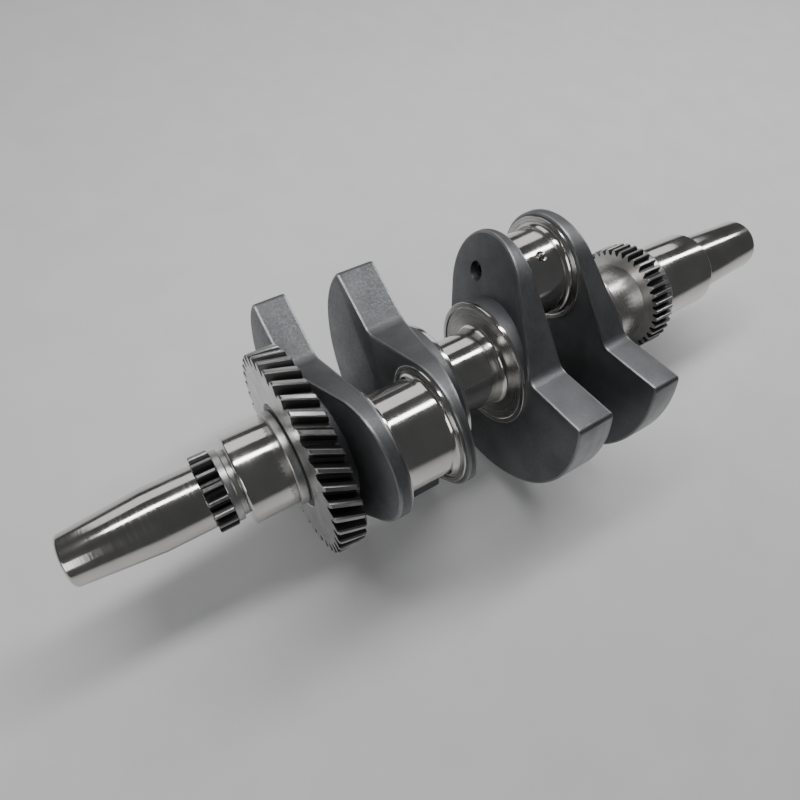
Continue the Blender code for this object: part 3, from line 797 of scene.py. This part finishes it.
def thread_cutter():
    """Cutter for the bolt bore: a countersunk mouth, a short plain lead and a thread."""
    minor = BOLT_BORE_RADIUS - THREAD_DEPTH
    start = SHAFT_START + BOLT_COUNTERSINK - BOLT_BORE_RADIUS
    profile = [
        (SHAFT_START - CLEAR, BOLT_COUNTERSINK + CLEAR),
        (start, BOLT_BORE_RADIUS),
    ]
    x = start + THREAD_LEAD
    profile.append((x, BOLT_BORE_RADIUS))
    while x + THREAD_PITCH < SHAFT_START + BOLT_BORE_DEPTH - THREAD_STOP:
        profile.append((x + THREAD_PITCH / 2, minor))
        profile.append((x + THREAD_PITCH, BOLT_BORE_RADIUS))
        x += THREAD_PITCH
    profile.append((SHAFT_START + BOLT_BORE_DEPTH - THREAD_RUNOUT, minor))
    profile.append((SHAFT_START + BOLT_BORE_DEPTH, BORE_TIP))
    return turned("thread", profile, segments=64, size=0)


def build_front():
    chamfer = NOSE_CHAMFER
    profile = [
        (SHAFT_START, TAPER_TIP_RADIUS - chamfer),
        (SHAFT_START + chamfer, TAPER_TIP_RADIUS),
        (TAPER_TOP, NOSE_RADIUS),
        (NOSE_END, NOSE_RADIUS),
        (NOSE_END, FRONT_SEAT_RADIUS),
        (FRONT_MAIN_START + SINK, FRONT_SEAT_RADIUS),
    ]
    key = (NOSE_END + GAP + KEY_MARGIN, TIMING_GEAR_END - KEY_MARGIN)
    slot = key_body(*key, FRONT_SEAT_RADIUS, SMALL_KEY_DEPTH, KEY_PLAY)
    mesh = carve(turned("nose", profile, size=SMALL_BREAK), [thread_cutter(), slot])
    finish("drive_taper_ground", mesh, (TAPER,), ["drive_taper"])

    start = TIMING_GEAR_END + CONTACT
    end = FRONT_MAIN_START - CONTACT
    step = start + FRONT_COLLAR_STEP
    profile = [
        (start, FRONT_COLLAR_RADIUS),
        (step, FRONT_COLLAR_RADIUS),
        (step, FRONT_COLLAR_STEP_RADIUS),
        (end, FRONT_COLLAR_STEP_RADIUS),
    ]
    mesh = turned("collar", profile, FRONT_SEAT_RADIUS + CONTACT, size=SMALL_BREAK)
    finish("front_collar_turned", mesh, (SATIN,), ["front_collar"])

    profile = [
        (FRONT_MAIN_START, FRONT_MAIN_RADIUS - JOURNAL_CHAMFER),
        (FRONT_MAIN_START + JOURNAL_CHAMFER, FRONT_MAIN_RADIUS),
        (FRONT_MAIN_END, FRONT_MAIN_RADIUS),
        (FRONT_MAIN_END, SPIGOT_RADIUS),
        (GEAR_START + SINK, SPIGOT_RADIUS),
    ]
    middle = (FRONT_MAIN_START + FRONT_MAIN_END) / 2
    blank = turned("front", profile, size=SMALL_BREAK)
    mesh = carve(blank, [oil_hole(middle, -PIN_1, FRONT_MAIN_RADIUS)])
    finish("front_journal_ground", mesh, (POLISHED,), ["front_main_journal"])

    profile = [(FRONT_MAIN_END + CONTACT, COLLAR_RADIUS), (GEAR_START - CONTACT, COLLAR_RADIUS)]
    mesh = turned("gear_collar", profile, SPIGOT_RADIUS + CONTACT, size=COLLAR_BREAK)
    finish("gear_collar_turned", mesh, (SATIN,), ["gear_collar"])


def build_rear():
    start = OUTER_WEB_END - SINK
    left, _ = between(start, REAR_MAIN_END, REAR_MAIN_RADIUS, MAIN_SHOULDER + SINK, MAIN_SHOULDER_RADIUS)
    profile = left + [
        (REAR_MAIN_END, REAR_MAIN_RADIUS),
        (REAR_MAIN_END, REAR_SEAT_RADIUS),
        (REAR_COLLAR_END + SINK, REAR_SEAT_RADIUS),
    ]
    key = (REAR_MAIN_END + GAP + KEY_MARGIN, REAR_GEAR_END - KEY_MARGIN)
    slot = key_body(*key, REAR_SEAT_RADIUS, KEY_DEPTH, KEY_PLAY)
    hole = oil_hole(REAR_OIL_HOLE, -PIN_2, REAR_MAIN_RADIUS)
    mesh = carve(turned("rear", profile, size=FINE_BREAK), [slot, hole])
    finish("rear_journal_ground", mesh, (REAR_GROUND,), ["rear_main_journal"])

    chamfer = REAR_COLLAR_CHAMFER
    profile = [
        (REAR_GEAR_END + CONTACT, REAR_COLLAR_RADIUS),
        (REAR_COLLAR_END - chamfer, REAR_COLLAR_RADIUS),
        (REAR_COLLAR_END - CONTACT, REAR_COLLAR_RADIUS - chamfer),
    ]
    mesh = turned("rear_collar", profile, REAR_SEAT_RADIUS + CONTACT, size=BREAK)
    finish("rear_collar_turned", mesh, (SATIN,), ["rear_collar"])

    profile = [
        (REAR_COLLAR_END + CONTACT, SEAL_LAND_RADIUS),
        (SEAL_LAND_END - SEAL_CHAMFER, SEAL_LAND_RADIUS),
        (SEAL_LAND_END, SEAL_LAND_RADIUS - SEAL_CHAMFER),
    ]
    mesh = turned("seal_land", profile, size=SMALL_BREAK)
    finish("seal_land_ground", mesh, (POLISHED,), ["seal_land"])

    start = SEAL_LAND_END - SINK
    profile = [
        (start, FLYWHEEL_TAPER_RADIUS),
        (SHAFT_END - END_CHAMFER, FLYWHEEL_TIP_RADIUS),
        (SHAFT_END, FLYWHEEL_TIP_RADIUS - END_CHAMFER),
    ]
    key_start = SEAL_LAND_END + GAP + FLYWHEEL_KEY_START
    seat = (FLYWHEEL_TAPER_RADIUS + FLYWHEEL_TIP_RADIUS) / 2
    key = (key_start, key_start + FLYWHEEL_KEY_LENGTH, seat, KEY_DEPTH)
    away = Matrix.Rotation(FLYWHEEL_KEY_ANGLE, 4, "X")
    slot = key_body(*key, KEY_PLAY)
    slot.transform(away)
    mesh = carve(turned("taper", profile, size=BREAK), [slot])
    finish("flywheel_taper_ground", mesh, (TAPER,), ["flywheel_taper"])
    mesh = key_body(*key)
    mesh.transform(away)
    finish("flywheel_key_steel", mesh, (DARK,), ["flywheel_key"])


# ---------------------------------------------------------------- studio


def floor():
    material, tree, shader, place = new_material("floor_paper", (0.86, 0.86, 0.86), 0.85, 0.0)
    grain = noise(tree, place, 30, 3.0)
    colour = tint(tree, grain, (0.84, 0.84, 0.84), (0.88, 0.88, 0.88))
    tree.links.new(colour, shader.inputs["Base Color"])
    mesh = bpy.data.meshes.new("floor")
    half = 4.0
    corners = [(-half, -half, 0), (half, -half, 0), (half, half, 0), (-half, half, 0)]
    mesh.from_pydata(corners, [], [(0, 1, 2, 3)])
    mesh.materials.append(material)
    sheet = bpy.data.objects.new("floor", mesh)
    bpy.context.scene.collection.objects.link(sheet)


def area_light(name, energy, size, size_y, place, target, colour=(1, 1, 1)):
    light = bpy.data.lights.new(name, "AREA")
    light.shape = "RECTANGLE"
    light.size = size
    light.size_y = size_y
    light.energy = energy
    light.color = colour
    lamp = bpy.data.objects.new(name, light)
    lamp.location = place
    aim = Vector(target) - Vector(place)
    across = Vector((1, 0, 0))
    back = -aim.normalized()
    up = back.cross(across).normalized()
    side = up.cross(back)
    lamp.rotation_euler = Matrix((side, up, back)).transposed().to_euler()
    bpy.context.scene.collection.objects.link(lamp)


def camera():
    eye = Vector((-0.1541, -0.1077, 0.3442))
    right = Vector((0.849, -0.513, 0.127)).normalized()
    up = Vector((0.403, 0.784, 0.474))
    up = (up - right * up.dot(right)).normalized()
    back = right.cross(up)
    lens = bpy.data.cameras.new("camera")
    lens.sensor_width = 36
    lens.lens = 26.87
    lens.clip_start = 0.01
    view = bpy.data.objects.new("camera", lens)
    view.matrix_world = Matrix.Translation(eye) @ Matrix((right, up, back)).transposed().to_4x4()
    bpy.context.scene.collection.objects.link(view)
    bpy.context.scene.camera = view


def studio():
    floor()
    world = bpy.data.worlds.new("studio")
    world.use_nodes = True
    world.node_tree.nodes["Background"].inputs["Color"].default_value = (0.95, 0.97, 1.0, 1)
    world.node_tree.nodes["Background"].inputs["Strength"].default_value = 0.08
    bpy.context.scene.world = world
    target = (0, 0, COUNTERWEIGHT_RADIUS)
    beside = (0.4, 0, COUNTERWEIGHT_RADIUS)
    area_light("strip", 5.6, 1.6, 0.09, (0.4, 0.17, 0.68), beside)
    area_light("back_softbox", 3.8, 2.0, 0.6, (0.4, 1.0, 0.62), beside)
    area_light("front_softbox", 2.6, 0.7, 0.5, (-0.9, -0.5, 0.6), target)
    camera()


build_webs()
build_gears()
build_journals()
build_front()
build_rear()
studio()
